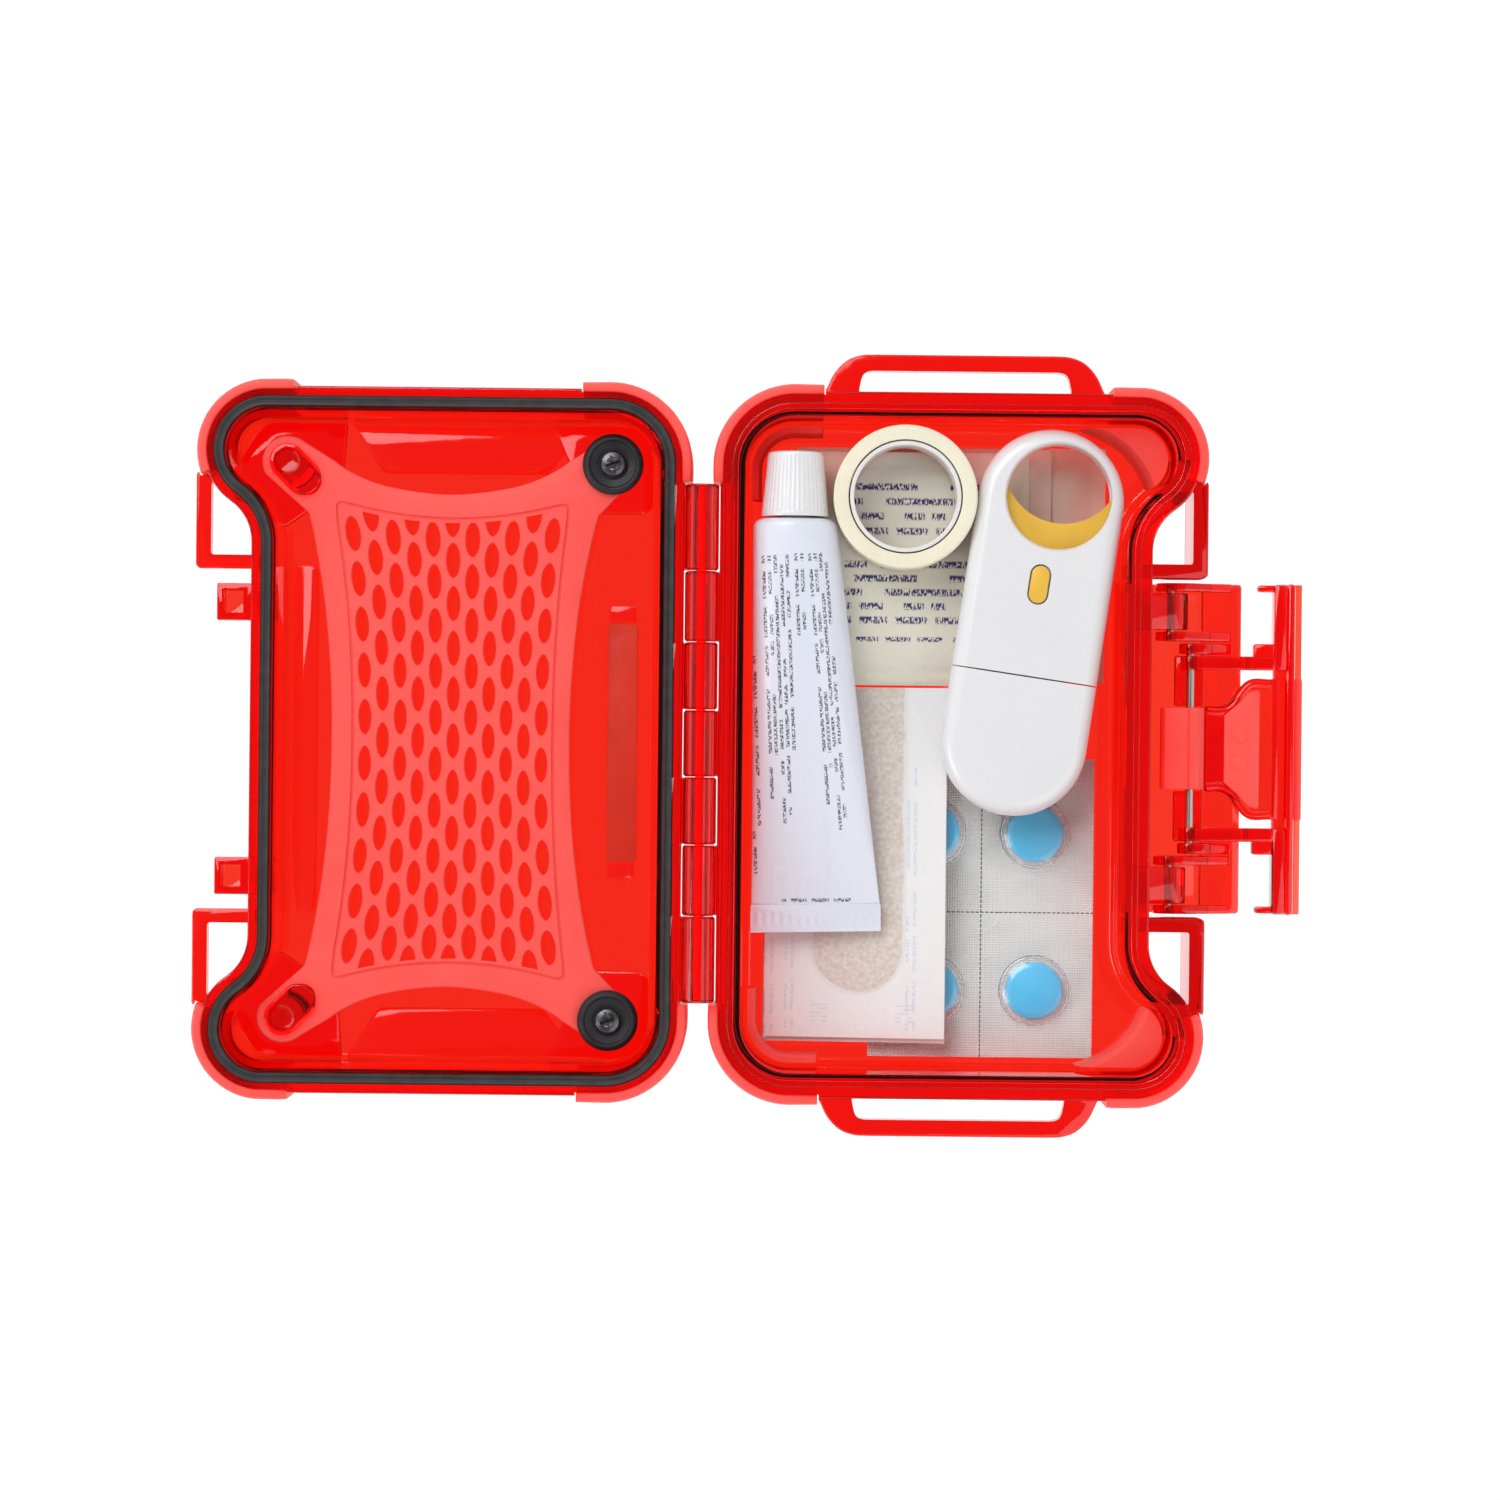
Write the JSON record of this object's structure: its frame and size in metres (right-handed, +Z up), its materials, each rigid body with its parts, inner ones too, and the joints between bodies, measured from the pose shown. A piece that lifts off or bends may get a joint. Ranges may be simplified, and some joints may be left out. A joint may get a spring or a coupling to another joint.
{
  "type": "first aid kit",
  "caption": "Small latching hard case, lying open, with a lid web, gasket and corner bumpers, holding tube ointment, tape, swabs, bandages, a tablet blister and a pocket tool.",
  "frame": {"origin": "centre of the flat underside of the case's bottom half", "axes": "+X from the hinge towards the latch, +Y along the hinge, +Z up out of the open halves"},
  "size_m": [0.2406, 0.1684, 0.0244],
  "materials": {
    "clear_red": "clear tinted gloss",
    "coral_rubber": "satin soft-touch",
    "black_rubber": "matte",
    "steel": "satin",
    "dark_steel": "satin",
    "label": "matte",
    "white_plastic": "gloss",
    "yellow_plastic": "satin",
    "tube_laminate": "satin",
    "tape_cloth": "woven satin",
    "clear_core": "clear gloss",
    "pouch_paper": "matte paper",
    "pouch_paper_pink": "matte paper",
    "wrapper_paper": "matte paper",
    "bandage": "matte",
    "foil": "embossed satin",
    "clear_film": "clear gloss",
    "tablet": "satin"
  },
  "bodies": {
    "base": {"base_shell": "clear_red", "base_bumper_latch_north": "coral_rubber", "corner_pad_latch_north": "coral_rubber", "base_bumper_latch_south": "coral_rubber", "corner_pad_latch_south": "coral_rubber", "base_bumper_hinge_north": "coral_rubber", "corner_pad_hinge_north": "coral_rubber", "base_bumper_hinge_south": "coral_rubber", "corner_pad_hinge_south": "coral_rubber", "hinge_pin": "steel", "latch_shelf": "clear_red"},
    "lid": {"lid_bumper_latch_north": "coral_rubber", "lid_bumper_latch_south": "coral_rubber", "lid_bumper_hinge_north": "coral_rubber", "lid_bumper_hinge_south": "coral_rubber", "lid_shell": "clear_red", "lid_gasket": "black_rubber", "lid_web": "coral_rubber", "lid_label_plate": "label", "web_post_north": "clear_red", "web_washer_north": "black_rubber", "web_screw_north": "dark_steel", "web_post_south": "clear_red", "web_washer_south": "black_rubber", "web_screw_south": "dark_steel"},
    "latch_link": {"latch_link_pin_north": "steel", "latch_link_pin_south": "steel", "latch_link": "clear_red", "latch_claw_pin": "steel"},
    "latch_claw": {"latch_claw": "clear_red", "latch_pad": "coral_rubber", "latch_grip": "coral_rubber", "latch_thumb_bar": "coral_rubber"},
    "blister_pack": {"blister_foil": "foil", "blister_card": "clear_film", "tablet_1": "tablet", "tablet_2": "tablet", "tablet_3": "tablet", "tablet_4": "tablet"},
    "bandages": {"bandage_wrapper_lower": "wrapper_paper", "bandage_strip": "bandage", "bandage_wrapper_upper": "wrapper_paper"},
    "swabs": {"swab_pouch_bottom": "pouch_paper_pink", "swab_pouch_middle": "pouch_paper_pink", "swab_pouch_top": "pouch_paper"},
    "tape": {"tape_roll": "tape_cloth", "tape_core": "clear_core"},
    "tube": {"tube_body": "tube_laminate"},
    "tube_cap": {"tube_cap": "white_plastic"},
    "tool": {"tool_body": "white_plastic", "tool_slider": "yellow_plastic", "tool_window": "yellow_plastic"},
    "tool_cap": {"tool_cap": "white_plastic"}
  },
  "joints": [
    {"name": "lid_hinge", "type": "hinge", "parent": "base", "child": "lid", "pos_m": [-0.056, 0, 0.021], "axis": [0, 1, 0], "range_deg": [0, 180]},
    {"name": "latch_link_hinge", "type": "hinge", "parent": "base", "child": "latch_link", "pos_m": [0.0462, 0, 0.007], "axis": [0, -1, 0], "range_deg": [0, 65]},
    {"name": "latch_claw_hinge", "type": "hinge", "parent": "latch_link", "child": "latch_claw", "pos_m": [0.0507, 0, 0.007], "axis": [0, -1, 0], "range_deg": [0, 25]},
    {"name": "blister_lift", "type": "slide", "parent": "base", "child": "blister_pack", "axis": [0, 0, -1], "range_m": [-0.02, 0]},
    {"name": "bandage_lift", "type": "slide", "parent": "blister_pack", "child": "bandages", "axis": [0, 0, -1], "range_m": [-0.02, 0]},
    {"name": "swab_lift", "type": "slide", "parent": "bandages", "child": "swabs", "axis": [0, 0, -1], "range_m": [-0.02, 0]},
    {"name": "tape_lift", "type": "slide", "parent": "swabs", "child": "tape", "axis": [0, 0, -1], "range_m": [-0.03, 0]},
    {"name": "tube_lift", "type": "slide", "parent": "swabs", "child": "tube", "axis": [0, 0, -1], "range_m": [-0.03, 0]},
    {"name": "tool_lift", "type": "slide", "parent": "swabs", "child": "tool", "axis": [0, 0, -1], "range_m": [-0.03, 0]},
    {"name": "tube_cap_turn", "type": "hinge", "parent": "tube", "child": "tube_cap", "pos_m": [-0.036, 0.0562, 0.0158], "axis": [0, 1, 0], "continuous": true},
    {"name": "tool_cap_pull", "type": "slide", "parent": "tool", "child": "tool_cap", "axis": [0.1425, 0.9898, 0], "range_m": [-0.03, 0]}
  ]
}
